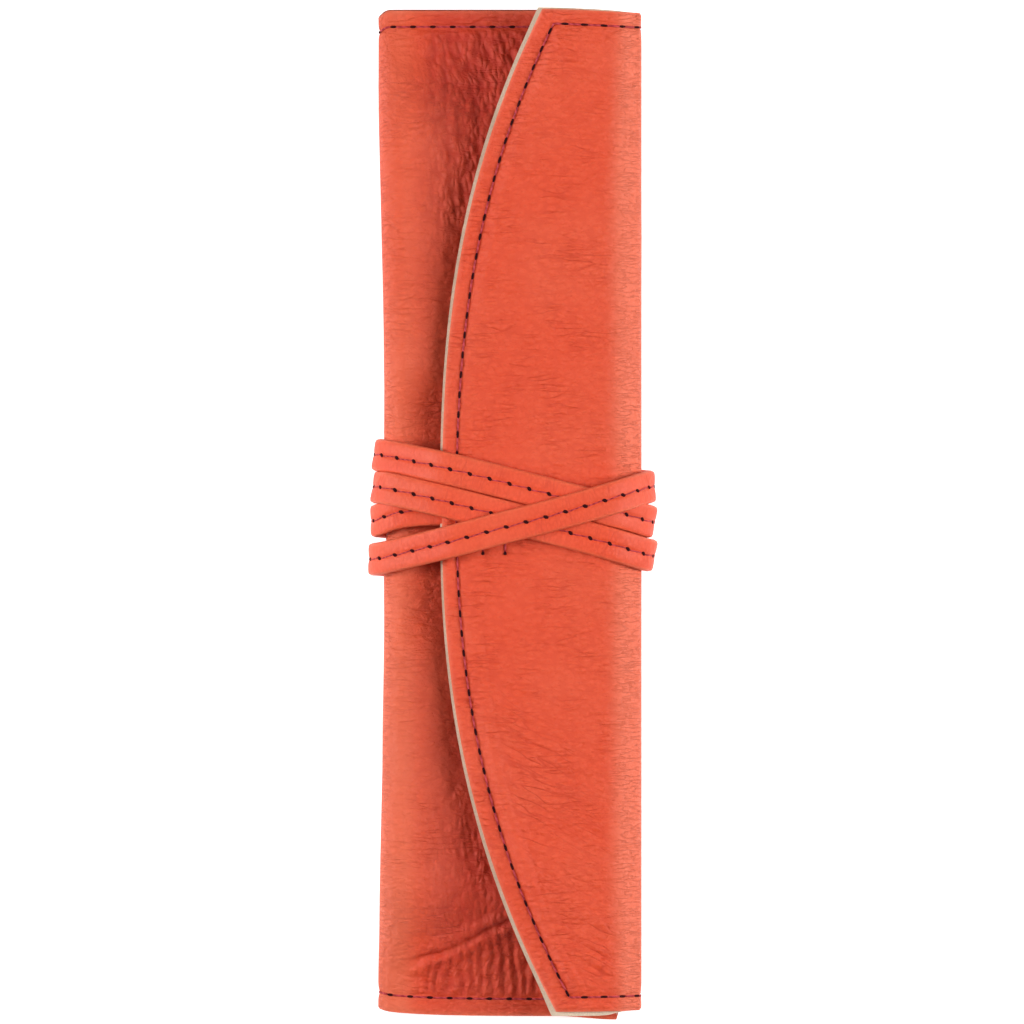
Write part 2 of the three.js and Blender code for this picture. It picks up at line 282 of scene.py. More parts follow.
def pouch_grid(rows, depth, mouth_x=MOUTH_X, counts=BODY_COLUMNS):
    """Front panel from the mouth, left fold, back, lower bend and the wall up to the cut."""
    y = np.linspace(-HALF_LENGTH, HALF_LENGTH, rows + 1)
    front, back, left = front_z(y), back_z(y), left_x(y)
    radius = np.minimum(LEFT_RADIUS, 0.48 * (front - back))
    bend = np.full_like(y, BACK_RADIUS)
    side, wall = left + radius, wall_x(y) - BACK_RADIUS
    inner = radius - depth
    n_front, n_upper, n_side, n_lower, n_back, n_bend, n_wall = counts
    face_x = wall_x(y) - depth
    parts = [
        straight(pairs(mouth_x + 0 * y, front - depth), pairs(side, front - depth), n_front),
        arc(pairs(side, front - radius), inner, 90, 180, n_upper),
        straight(pairs(left + depth, front - radius), pairs(left + depth, back + radius), n_side),
        arc(pairs(side, back + radius), inner, 180, 270, n_lower),
        straight(pairs(side, back + depth), pairs(wall, back + depth), n_back),
        arc(pairs(wall, back + bend), bend - depth, 270, 360, n_bend),
        straight(pairs(face_x, back + bend), pairs(face_x, CUT_Z), n_wall),
        pairs(face_x, CUT_Z)[:, None, :],
    ]
    section = np.concatenate(parts, 1)
    x, z = section[..., 0], section[..., 1].copy()
    soft = n_front + n_upper
    z[:, :soft] -= sag(x[:, :soft], y[:, None])
    nominal = np.broadcast_to(y[:, None], x.shape)
    return np.stack([x, real_y(nominal, x, under_end), z], -1), nominal


def wall_profile():
    """The flap's section from the cut: distance along it, angle from upright, x and z."""
    first, slant, last = BEND_PARTS
    step = 0.05
    t = np.arange(0, 100, step)

    def angle_at(start):
        leave = smooth(t, start, start + first)
        level = smooth(t, start + first + slant, start + sum(BEND_PARTS))
        return math.pi / 4 * (leave + level)

    rise = np.sum(np.cos(angle_at(0.0))) * step
    start = TOP_Z - CUT_Z - rise
    angle = angle_at(start)
    x = WALL_X - np.concatenate([[0], np.cumsum(np.sin(angle[:-1]))]) * step
    z = CUT_Z + np.concatenate([[0], np.cumsum(np.cos(angle[:-1]))]) * step
    return t, angle, x, z, start


PROFILE_T, PROFILE_ANGLE, PROFILE_X, PROFILE_Z, BEND_START = wall_profile()
BEND_END = BEND_START + sum(BEND_PARTS)
FLAT_X = float(np.interp(BEND_END, PROFILE_T, PROFILE_X))  # where the flap's flat part begins


def profile_at(t, offset=0.0):
    """Section points at t, moved outward by the offset, and the angle there."""
    angle = np.interp(t, PROFILE_T, PROFILE_ANGLE)
    x = np.interp(t, PROFILE_T, PROFILE_X) + offset * np.cos(angle)
    z = np.interp(t, PROFILE_T, PROFILE_Z) + offset * np.sin(angle)
    return x, z, angle


def flap_sink(x, y):
    """How far the flap lies below its height beside the wall."""
    along = smooth(np.abs(y), 70, HALF_LENGTH + 2)
    across = np.clip((17 - x) / 21, 0, None) ** 1.3
    lip = np.clip(1 - (x - flap_edge(y)) / 9, 0, 1) ** 2
    pressed = STRAP_PRESS * (1 - smooth(np.abs(y), 12, 22))
    return along * (1.5 + 4.2 * across) + 0.8 * lip + pressed


def flap_point(t, y, depth=0.0):
    """The skin at t from the cut, measured along it, and at y along the case."""
    t, y = np.broadcast_arrays(np.asarray(t, float), np.asarray(y, float))
    x, z, angle = profile_at(t, -depth)
    x = x - pinch(y, "right") * (1 - smooth(t, BEND_END, BEND_END + 6))
    z = z - smooth(angle, 0, math.pi / 2) * flap_sink(x, y)
    return np.stack([x, real_y(y, x, flap_end), z], -1)


def flap_t(x):
    """Where along the skin the flat part has this x."""
    return BEND_END + FLAT_X - x


def flap_grid(rows, columns, depth, edge, end_t=0.0):
    y = np.linspace(-HALF_LENGTH, HALF_LENGTH, rows + 1)
    share = np.linspace(0, 1, columns + 1)
    t = lerp(end_t, flap_t(edge(y))[:, None], share[None, :])
    nominal = np.broadcast_to(y[:, None], t.shape)
    return flap_point(t, nominal, depth), nominal, t


def normals_of(grid):
    across = np.gradient(grid, axis=1)
    along = np.gradient(grid, axis=0)
    normal = np.cross(along, across)
    return normal / np.linalg.norm(normal, axis=-1, keepdims=True)


# Meshes


def link_new(name, data):
    made = bpy.data.objects.new(name, data)
    bpy.context.scene.collection.objects.link(made)
    return made


def add_object(name, materials, points, faces, uv=None, values=None):
    """A smooth mesh object in metres, from points in millimetres."""
    mesh = bpy.data.meshes.new(name)
    for material in materials:
        mesh.materials.append(material)
    mesh.from_pydata((np.asarray(points) * MM).tolist(), [], faces)
    mesh.polygons.foreach_set("use_smooth", [True] * len(mesh.polygons))
    if uv is not None:
        layer = mesh.uv_layers.new(name="Flat")
        corner = np.empty(len(mesh.loops), np.int32)
        mesh.loops.foreach_get("vertex_index", corner)
        layer.data.foreach_set("uv", np.asarray(uv, np.float32)[corner].ravel())
    for key, value in (values or {}).items():
        attribute = mesh.attributes.new(key, "FLOAT", "POINT")
        attribute.data.foreach_set("value", np.asarray(value, np.float32))
    mesh.update()
    return link_new(name, mesh)


def grid_faces(start, rows, columns):
    place = start + np.arange((rows + 1) * (columns + 1)).reshape(rows + 1, columns + 1)
    quads = [place[:-1, :-1], place[1:, :-1], place[1:, 1:], place[:-1, 1:]]
    return np.stack(quads, -1).reshape(-1, 4), place


def rim(place):
    """The border of a grid of indices, once round."""
    return np.concatenate([place[0, :-1], place[:-1, -1], place[-1, :0:-1], place[:0:-1, 0]])


def add_sheet(name, material, face, back, uv, values=None, coarse=4):
    """A closed sheet: a fine grid on its face, a coarser one on its back, and an edge between."""
    rows, columns = face.shape[0] - 1, face.shape[1] - 1
    back = back[::coarse, ::coarse]
    face_quads, face_place = grid_faces(0, rows, columns)
    back_quads, back_place = grid_faces(face_place.size, rows // coarse, columns // coarse)
    outer, inner = rim(face_place), rim(back_place)
    edge = []
    count = len(inner)
    for k in range(count):
        fine = [outer[(k * coarse + i) % len(outer)] for i in range(coarse + 1)]
        edge.append((inner[k], *fine, inner[(k + 1) % count]))
    points = np.concatenate([face.reshape(-1, 3), back.reshape(-1, 3)])
    maps = np.concatenate([uv.reshape(-1, 2), uv[::coarse, ::coarse].reshape(-1, 2)])
    values = {
        key: np.concatenate([value.ravel(), value[::coarse, ::coarse].ravel()])
        for key, value in (values or {}).items()
    }
    faces = face_quads.tolist() + back_quads[:, ::-1].tolist()
    faces += [[int(i) for i in reversed(ring)] for ring in edge]
    made = add_object(name, [material], points, faces, maps, values)
    keep_crisp(made.data, (outer, inner))
    return made


def keep_crisp(mesh, rings):
    """Marks the edges along rings of vertices as sharp."""
    ends = np.empty(len(mesh.edges) * 2, np.int32)
    mesh.edges.foreach_get("vertices", ends)
    ends = np.sort(ends.reshape(-1, 2), axis=1)
    wanted = np.concatenate([np.stack([ring, np.roll(ring, -1)], -1) for ring in rings])
    wanted = np.sort(wanted, axis=1)
    scale = len(mesh.vertices)
    sharp = np.isin(ends[:, 0] * scale + ends[:, 1], wanted[:, 0] * scale + wanted[:, 1])
    mesh.attributes.new("sharp_edge", "BOOLEAN", "EDGE").data.foreach_set("value", sharp)


def near_path(points, path, lengths):
    """Each point's distance from a path, and how far along the path that is."""
    flat = points.reshape(-1, 3)
    away = np.full(len(flat), 1e9)
    where = np.zeros(len(flat))
    for point, length in zip(path, lengths):
        d = ((flat - point) ** 2).sum(1)
        closer = d < away
        away[closer] = d[closer]
        where[closer] = length
    return np.sqrt(away).reshape(points.shape[:-1]), where.reshape(points.shape[:-1])


def lengths_of(path):
    step = np.linalg.norm(np.diff(path, axis=0), axis=1)
    return np.concatenate([[0], np.cumsum(step)])


def along_path(at, lengths, values):
    """Values known at some lengths along a path, worked out at others."""
    return np.stack([np.interp(at, lengths, values[:, k]) for k in range(3)], -1)


def resample(path, step, *others):
    """The path and whatever goes with it, at even steps."""
    lengths = lengths_of(path)
    count = max(2, int(round(lengths[-1] / step)) + 1)
    at = np.linspace(0, lengths[-1], count)
    return [along_path(at, lengths, values) for values in (path, *others)]


def seam_press(points, path):
    """How far a seam pulls the leather in at each point, most at its needle holes."""
    path = resample(path, 0.5)[0]
    away, where = near_path(points, path, lengths_of(path))
    hole = 0.5 + 0.5 * np.cos(2 * math.pi * where / PITCH)
    return 0.3 * bump_at(away, 0, 0.55) + (0.1 + 0.14 * hole) * bump_at(away, 0, 1.5)


def cut_edge(away, reach, drop):
    """How far a cut edge is rounded down, at a distance away from it."""
    return drop * (1 - np.clip(away / reach, 0, 1)) ** 2


# Stitches


def unit(vectors):
    return vectors / np.maximum(np.linalg.norm(vectors, axis=-1, keepdims=True), 1e-9)


class Tubes:
    """Closed tubes made of rings, gathered into one mesh."""

    SIDES = 10

    def __init__(self):
        self.points = []
        self.faces = []
        self.marks = []
        self.total = 0

    def add(self, centres, across, up, radii, flat, mark):
        """One tube: `flat` is its height by its width, and `mark` its material's place."""
        sides = self.SIDES
        angle = np.linspace(0, 2 * math.pi, sides, endpoint=False)
        wide = across[:, None, :] * (radii[:, None] * np.cos(angle))[..., None]
        high = up[:, None, :] * (radii[:, None] * flat * np.sin(angle))[..., None]
        self.points.append((centres[:, None, :] + wide + high).reshape(-1, 3))
        for ring in range(len(centres) - 1):
            low = self.total + ring * sides
            for side in range(sides):
                a = low + side
                b = low + (side + 1) % sides
                self.faces.append((a, b, b + sides, a + sides))
        last = self.total + (len(centres) - 1) * sides
        self.faces.append(tuple(self.total + s for s in reversed(range(sides))))
        self.faces.append(tuple(last + s for s in range(sides)))
        self.marks += [mark] * ((len(centres) - 1) * sides + 2)
        self.total += len(centres) * sides


def stitch_row(name, node, path, normals, hole, thread, pitch=PITCH, sink=0.22, lean=0.0):
    """One thread row: an arched length of thread between each two needle holes, and the holes.
    `hole` is (half length, half width), `thread` (radius, arch) and `lean` the slits' slope."""
    path, normals = resample(path, 0.25, normals)
    lengths = lengths_of(path)
    count = max(1, int(lengths[-1] / pitch))
    first = (lengths[-1] - count * pitch) / 2
    radius, arch = thread
    reach, half_width = hole
    tubes = Tubes()

    def place_at(s):
        point = along_path(s, lengths, path)
        normal = unit(along_path(s, lengths, normals))
        across = unit(np.cross(unit(np.gradient(point, axis=0)), normal))
        return point, normal, across

    def add_thread(middle, k):
        t = np.linspace(-1, 1, 11)
        clear = 0.45 * reach
        s = np.linspace(middle + clear, middle + pitch - clear, len(t))
        point, normal, across = place_at(s)
        lift = arch * (1 - t**4) - sink - 0.35 * t**8
        slant = 0.03 * (lattice(k, 3, 1) - 0.5) - lean * reach * t
        twist = 1 + 0.07 * np.sin(9 * t + k)
        radii = radius * np.sqrt(np.maximum(1 - 0.55 * t**6, 0.05)) * twist
        centres = point + normal * lift[:, None] + across * slant[:, None]
        tubes.add(centres, across, normal, radii, 0.8, 0)

    # Each hole is a flat near-black disc sunk into the leather: painted shade for the inside of the hole.
    def add_hole(middle):
        t = np.linspace(-0.98, 0.98, 5)
        point, normal, across = place_at(middle + t * reach)
        point = point + across * (lean * reach * t)[:, None]
        radii = half_width * np.sqrt(1 - t**2) + 0.01
        tubes.add(point - normal * (sink - 0.06), across, normal, radii, 0.22, 1)

    for k in range(count + 1):
        middle = first + k * pitch
        if k < count:
            add_thread(middle, k)
        add_hole(middle)
    made = add_object(name, [THREAD, HOLE_SHADE], np.concatenate(tubes.points), tubes.faces)
    made.data.polygons.foreach_set("material_index", tubes.marks)
    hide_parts(node)
    return made


# Materials


class Finish:
    """A node material built up from small calls."""

    def __init__(self, name):
        self.material = bpy.data.materials.new(name)
        self.material.use_nodes = True
        self.tree = self.material.node_tree
        self.shader = self.tree.nodes["Principled BSDF"]

    def add(self, kind, settings=None, **inputs):
        node = self.tree.nodes.new(kind)
        for key, value in (settings or {}).items():
            setattr(node, key, value)
        for key, value in inputs.items():
            self.put(node.inputs[key], value)
        return node

    def put(self, socket, value):
        if isinstance(value, bpy.types.NodeSocket):
            self.tree.links.new(value, socket)
        else:
            socket.default_value = value

    def math(self, operation, a, b=0.0):
        node = self.add("ShaderNodeMath", {"operation": operation})
        self.put(node.inputs[0], a)
        self.put(node.inputs[1], b)
        return node.outputs[0]

    def plus(self, a, b):
        return self.math("ADD", a, b)

    def times(self, a, b):
        return self.math("MULTIPLY", a, b)

    def larger(self, a, b):
        return self.math("MAXIMUM", a, b)

    def span(self, value, low, high, out_low=0.0, out_high=1.0):
        """Turns low to high into out_low to out_high, with soft ends."""
        node = self.add("ShaderNodeMapRange", {"interpolation_type": "SMOOTHSTEP"}, Value=value)
        node.inputs["From Min"].default_value = low
        node.inputs["From Max"].default_value = high
        node.inputs["To Min"].default_value = out_low
        node.inputs["To Max"].default_value = out_high
        return node.outputs[0]

    def mix(self, share, a, b):
        node = self.add("ShaderNodeMix", {"data_type": "RGBA"})
        self.put(node.inputs[0], share)
        self.put(node.inputs[6], a)
        self.put(node.inputs[7], b)
        return node.outputs[2]

    def flat_map(self):
        return self.add("ShaderNodeUVMap", {"uv_map": "Flat"}).outputs[0]

    def object_map(self):
        return self.add("ShaderNodeTexCoord").outputs["Object"]

    def place(self, coordinates, scale):
        return self.add("ShaderNodeMapping", Vector=coordinates, Scale=scale).outputs[0]

    def noise(self, coordinates, scale, detail=3.0, roughness=0.55):
        settings = {"noise_dimensions": "3D"}
        inputs = {"Vector": coordinates, "Scale": scale, "Detail": detail, "Roughness": roughness}
        return self.add("ShaderNodeTexNoise", settings, **inputs)

    def domes(self, coordinates, scale):
        """Soft pebbles: 1 on their tops, 0 in the valleys between."""
        settings = {"voronoi_dimensions": "2D", "feature": "SMOOTH_F1"}
        inputs = {"Vector": coordinates, "Scale": scale, "Smoothness": 0.22}
        node = self.add("ShaderNodeTexVoronoi", settings, **inputs)
        return self.span(node.outputs["Distance"], 0.72, 0.0)

    def creases(self, coordinates, scale):
        """Thin wandering lines: 1 in a crease, 0 between."""
        wander = self.noise(coordinates, scale, 2.0, 0.5).outputs["Fac"]
        return self.span(self.math("ABSOLUTE", self.math("SUBTRACT", wander, 0.5)), 0.045, 0.0)

    def blend(self, share, a, b):
        node = self.add("ShaderNodeMix", {"data_type": "FLOAT"})
        self.put(node.inputs[0], share)
        self.put(node.inputs[2], a)
        self.put(node.inputs[3], b)
        return node.outputs[0]

    def value(self, name):
        return self.add("ShaderNodeAttribute", {"attribute_name": name}).outputs["Fac"]

    def relief(self, height, distance):
        node = self.add("ShaderNodeBump", Height=height, Strength=1.0, Distance=distance)
        self.put(self.shader.inputs["Normal"], node.outputs[0])

    def done(self, **inputs):
        for key, value in inputs.items():
            self.put(self.shader.inputs[key.replace("_", " ")], value)
        return self.material


# The flat map's unit is a tenth of a metre, so a texture scale of 100 repeats every millimetre.
UNIT = 100.0

# The plain coral is the leather's own colour. The darker red is painted shade. The pale coral is partly
# random tone and partly painted highlight and sheen.
CORAL = (0.74, 0.065, 0.016, 1)
CORAL_SHADE = (0.40, 0.007, 0.003, 1)
CORAL_PALE = (0.84, 0.20, 0.10, 1)


def leather_finish(name, cell, depth, pale=0.5):
    """Pebbled leather. `cell` is the pebbles' size and `depth` their height, in millimetres."""
    f = Finish(name)
    flat = f.flat_map()
    pucker = f.value("pucker")
    domes, small = pebbled_grain(f, flat, cell, pucker)
    fade = f.noise(flat, UNIT / 8.0, 2.0).outputs["Fac"]
    firm = f.plus(f.span(fade, 0.3, 0.7, 0.35, 0.7), f.times(pucker, 0.6))
    lines = crease_lines(f, flat, fade)
    pores = f.noise(f.place(flat, (0.75, 1.25, 1)), UNIT / 0.6, 4.0, 0.7).outputs["Fac"]

    height = f.times(domes, firm)
    height = f.plus(height, f.times(small, 0.14))
    height = f.math("SUBTRACT", height, f.times(lines, 0.6))
    height = f.plus(height, f.times(pores, 0.85))
    f.relief(height, depth * MM)

    cloud = f.noise(flat, UNIT / 20.0, 4.0).outputs["Fac"]
    tint = f.mix(f.span(cloud, 0.32, 0.72, 0.0, pale * 0.25), CORAL, CORAL_PALE)
    # Painted shade: the grain's valleys, crease lines and pores are mixed towards a darker red, and the
    # puckered front panel a little more.
    valley_shade = f.times(f.span(domes, 0.45, 0.0, 0.0, 0.24), firm)
    valley_shade = f.larger(valley_shade, f.times(lines, 0.5))
    valley_shade = f.larger(valley_shade, f.span(pores, 0.5, 0.3, 0.0, 0.22))
    tint = f.mix(f.plus(valley_shade, f.times(pucker, 0.18)), tint, CORAL_SHADE)
    # Painted highlight: the pebbles' tops are mixed a little towards pale coral.
    tint = f.mix(f.times(f.span(domes, 0.55, 1.0), 0.06), tint, CORAL_PALE)
    # Painted shade: the front panel under the flap's edge and in its hollows is mixed towards dark red.
    tint = f.mix(f.times(f.value("flap_and_hollow_shade"), 0.56), tint, CORAL_SHADE)
    # Partly painted sheen on the side rolls and the strap's rounded edges, partly pale wear along cut
    # edges.
    tint = f.mix(f.times(f.value("wear_and_sheen"), 0.5), tint, CORAL_PALE)
    rough = f.plus(f.span(pores, 0.2, 0.8, 0.46, 0.58), f.times(valley_shade, 0.4))
    return f.done(Base_Color=tint, Roughness=rough, Specular_IOR_Level=0.42)


def pebbled_grain(f, flat, cell, pucker):
    """The pebbles, drawn out along the case where the leather puckers, and finer ones on them."""
    drift = f.noise(flat, UNIT / (2.4 * cell), 1.0).outputs["Color"]
    warped = f.add("ShaderNodeVectorMath", {"operation": "MULTIPLY_ADD"})
    f.put(warped.inputs[0], drift)
    f.put(warped.inputs[1], (0.9 * cell / UNIT,) * 3)
    f.put(warped.inputs[2], flat)
    grain = warped.outputs[0]
    round_cells = f.domes(f.place(grain, (0.8, 1.2, 1)), UNIT / cell)
    long_cells = f.domes(f.place(grain, (1.25, 0.6, 1)), UNIT / cell)
    small = f.domes(grain, UNIT / (0.45 * cell))
    return f.blend(pucker, round_cells, long_cells), small


def crease_lines(f, flat, fade):
    """Fine creases: level ones in patches, closer ones on the bends and slanting ones by the edge."""
    level = f.creases(f.place(flat, (0.14, 0.75, 1)), UNIT / 1.6)
    close = f.creases(f.place(flat, (0.2, 1.0, 1)), UNIT / 0.9)
    turned = f.add("ShaderNodeMapping", Vector=flat, Rotation=(0, 0, math.radians(-27))).outputs[0]
    slanting = f.creases(f.place(turned, (0.13, 0.6, 1)), UNIT / 1.7)
    lines = f.times(level, f.span(fade, 0.4, 0.65, 0.1, 0.6))
    lines = f.larger(lines, f.times(close, f.times(f.value("bend"), 0.8)))
    slant = f.times(f.value("slant"), 0.75)
    return f.larger(lines, f.times(slanting, slant))


def lining_finish():
    """Beige microsuede: short nap with soft brushed clouds."""
    f = Finish("beige_suede")
    flat = f.flat_map()
    nap = f.noise(f.place(flat, (1.0, 0.5, 1)), UNIT / 0.25, 4.0, 0.7).outputs["Fac"]
    cloud = f.noise(flat, UNIT / 14.0, 3.0).outputs["Fac"]
    tint = f.mix(f.span(cloud, 0.3, 0.7), (0.62, 0.50, 0.37, 1), (0.74, 0.62, 0.48, 1))
    tint = f.mix(f.span(nap, 0.35, 0.7, 0.0, 0.4), tint, (0.38, 0.28, 0.18, 1))
    f.relief(nap, 0.12 * MM)
    return f.done(Base_Color=tint, Roughness=0.92, Specular_IOR_Level=0.2, Sheen_Weight=0.25)


def thread_finish():
    """Plum waxed thread: two plies and a little fluff."""
    f = Finish("plum_thread")
    place = f.object_map()
    weave = {"Vector": place, "Scale": 420, "Distortion": 1.5}
    ply = f.add("ShaderNodeTexWave", {"bands_direction": "DIAGONAL"}, **weave)
    fluff = f.noise(place, 5200, 3.0).outputs["Fac"]
    tint = f.mix(ply.outputs["Fac"], (0.33, 0.022, 0.028, 1), (0.55, 0.055, 0.068, 1))
    tint = f.mix(f.span(fluff, 0.5, 0.8, 0.0, 0.5), tint, (0.62, 0.15, 0.15, 1))
    f.relief(f.plus(ply.outputs["Fac"], f.times(fluff, 0.5)), 0.05 * MM)
    return f.done(Base_Color=tint, Roughness=0.6, Specular_IOR_Level=0.25)


# Painted shade: the near-black colour of the needle holes, a little mottled.
def hole_shade_finish():
    f = Finish("needle_hole_shade")
    place = f.object_map()
    shade_mottle = f.noise(place, 2600, 2.0).outputs["Fac"]
    tint = f.mix(shade_mottle, (0.012, 0.002, 0.003, 1), (0.05, 0.006, 0.008, 1))
    return f.done(Base_Color=tint, Roughness=0.9, Specular_IOR_Level=0.1)


BODY_LEATHER = leather_finish("coral_pebbled_leather", 1.45, 0.28)
STRAP_LEATHER = leather_finish("coral_strap_leather", 0.8, 0.06, pale=0.7)
SUEDE = lining_finish()
THREAD = thread_finish()
HOLE_SHADE = hole_shade_finish()


# Body leather: front panel, left fold, back and half of the side wall


def flat_uv(grid, nominal, start):
    """The flat pattern's coordinates: along the skin from `start`, and along the case."""
    step = np.linalg.norm(np.diff(grid, axis=1), axis=2).mean(0)
    along = start + np.concatenate([[0], np.cumsum(step)])
    u = np.broadcast_to(along[None, :], nominal.shape)
    return np.stack([u, nominal], -1) / UNIT, along[-1]


def front_creases(x, y):
    """Height, pucker share and depth of hollows on the front panel, gathered by the end seams."""
    head = smooth(y, 40, 66) * (1 - smooth(y, 97, 98.8))
    foot = smooth(-y, 42, 72) * (1 - smooth(-y, 97.8, 99.2))
    left = smooth(x, -23, -15)
    bent = x + 0.9 * noise(x / 5, y / 7, 4)
    upright = ridges(bent / 3.0, y / 8.0, 11) - 0.5
    lumps = pebbles(bent / 1.75, y / 2.9, 8) - 0.5
    fold = foot_fold(x, y)
    below = smooth(-fold, 0.3, 2.2)
    high = 0.66 * head * left * upright + 0.52 * head * left * lumps
    high += foot * left * (1 - below) * (0.42 * upright + 0.38 * lumps)
    high += below * foot_fan(x, y)
    span = smooth(x, -23, -18)
    high += span * (-0.8 * bump_at(fold, 0, 0.5) + 0.45 * bump_at(fold, 1.6, 1.3))
    high += 0.6 * span * bump_at(fold, -1.6, 1.2)
    short_fold = y + 93.6 + 0.32 * (x + 24)
    high -= 0.3 * bump_at(short_fold, 0, 0.6) * bump_at(x, -19.5, 3.2)
    high += uneven(x, y) * (1 - waist(y)) * (1 - smooth(np.abs(y), 92, 99))
    high *= 1 - smooth(x, MOUTH_X - 8, MOUTH_X - 5)
    share = np.clip(head * left + 0.8 * foot * left, 0, 1)
    hollow = np.clip(-1.5 * high, 0, 1)
    return high, share, hollow


def foot_fold(x, y):
    """Distance above the long crease that runs up from the foot's left corner."""
    along = np.clip(x + 21.7, -3, 30)
    line = -91.9 + 0.36 * along + 0.0047 * along**2 + 0.35 * noise(x / 3, 0 * x, 31)
    return np.clip(y - line, -40, 40)


def foot_fan(x, y):
    """The pleats between the long crease and the foot's seam, some of them forked."""
    phase = (x + 0.9 * noise(x / 5, y / 6, 22) + 0.35 * noise(x / 2.2, y / 3, 24)) / 2.2
    pleats = np.abs(np.sin(math.pi * phase)) ** 0.7 - 0.65
    forks = np.abs(np.sin(math.pi * (2 * phase + 0.3))) ** 0.7 - 0.65
    forked = smooth(noise(x / 4, y / 5, 25), -0.1, 0.5)
    near = smooth(-y, 80, 86) * (1 - smooth(-y, 97.0, 98.6))
    return smooth(x, -21, -17) * near * (0.85 * pleats + 0.45 * forked * forks)


def uneven(x, y):
    """Soft unevenness of the hide, with a little fine grain."""
    wave = noise(x / 13, y / 17, 41) * 0.34 + noise(x / 6, y / 8, 42) * 0.14
    return wave + 0.07 * (noise(x / 1.9, y / 1.4, 43) + noise((x + y) / 2.6, (y - x) / 1.9, 44))


def end_row(grid, side):
    """The end seam's row of the grid: all round, at the seam's distance from the end."""
    place = (side * POUCH_SEAM_Y + HALF_LENGTH) / (2 * HALF_LENGTH) * ROWS
    low = int(math.floor(place))
    return lerp(grid[low], grid[low + 1], place - low)


def mouth_column(grid):
    """The mouth seam's column, which stops short of both end seams."""
    return grid[20:-20, MOUTH_COLUMN]


BODY_FACE, BODY_Y = pouch_grid(ROWS, 0.0)  # the plain folded shape, and nominal places along it
BODY_NORMAL = normals_of(BODY_FACE)
ON_FRONT = smooth(BODY_NORMAL[..., 2], 0.2, 0.9)  # 1 on the front panel, 0 on the sides and back
MOUTH_STEP = np.linalg.norm(BODY_FACE[ROWS // 2, 1] - BODY_FACE[ROWS // 2, 0])
MOUTH_COLUMN = int(round(SEAM_INSET / MOUTH_STEP))


def body_height():
    """How far the leather stands out of the plain folded shape, and its pucker share and hollows."""
    x, z = BODY_FACE[..., 0], BODY_FACE[..., 2]
    high, share, hollow = front_creases(x, BODY_Y)
    high = high * ON_FRONT
    free = (1 - ON_FRONT) * smooth(z, 0.5, 3) * np.where(x > 0, 1 - smooth(z, 5, CUT_Z), 1)
    high += 0.12 * noise(x / 12, BODY_Y / 14, 51) * free
    for path in (end_row(BODY_FACE, 1), end_row(BODY_FACE, -1), mouth_column(BODY_FACE)):
        high -= seam_press(BODY_FACE, path)
    return high, share * ON_FRONT, hollow


def body_wear_sheen_and_shade(hollow):
    """Where the leather is bent; painted sheen on the left fold and the side wall, with pale wear along the
    cut ends; and painted shade under the flap and in the front panel's hollows.
    """
    x, y = BODY_FACE[..., 0], BODY_Y
    bend = smooth(np.abs(BODY_NORMAL[..., 0]), 0.3, 0.85)
    # Painted sheen: paler on the left fold, more in the middle than towards the head, and on the side wall;
    # the cut ends are paler from wear.
    left_fold_sheen = (1 - smooth(x, -24, -18)) * lerp(0.9, 0.4, smooth(y, 0, 60))
    on_wall = smooth(BODY_NORMAL[..., 0], 0.05, 0.75)
    wear_and_sheen = left_fold_sheen + on_wall + bump_at(np.abs(y), HALF_LENGTH, 0.7)
    # Painted shade under the flap's edge and in the hollows of the front panel, less towards the foot.
    flap_and_hollow_shade = ON_FRONT * np.clip(0.68 * smooth(x, -22, -13) + 0.5 * hollow, 0, 1)
    flap_and_hollow_shade = flap_and_hollow_shade * (1 - 0.45 * smooth(-y, 80, 90))
    return {"bend": bend, "wear_and_sheen": np.clip(wear_and_sheen, 0, 1), "flap_and_hollow_shade": flap_and_hollow_shade}


def make_body():
    """The body leather, and how far its flat pattern reaches."""
    back, _ = pouch_grid(ROWS, LEATHER)
    uv, end = flat_uv(BODY_FACE, BODY_Y, 0.0)
    high, pucker, hollow = body_height()
    high -= cut_edge(HALF_LENGTH - np.abs(BODY_Y), 0.6, 0.35)
    face = BODY_FACE + BODY_NORMAL * high[..., None]
    made = add_sheet("body_leather", BODY_LEATHER, face, back, uv, {"pucker": pucker, **body_wear_sheen_and_shade(hollow)})
    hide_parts("pouch_leather", "fold_leather")
    return made, end


# Flap leather: upper half of the side wall, upper bend and flap


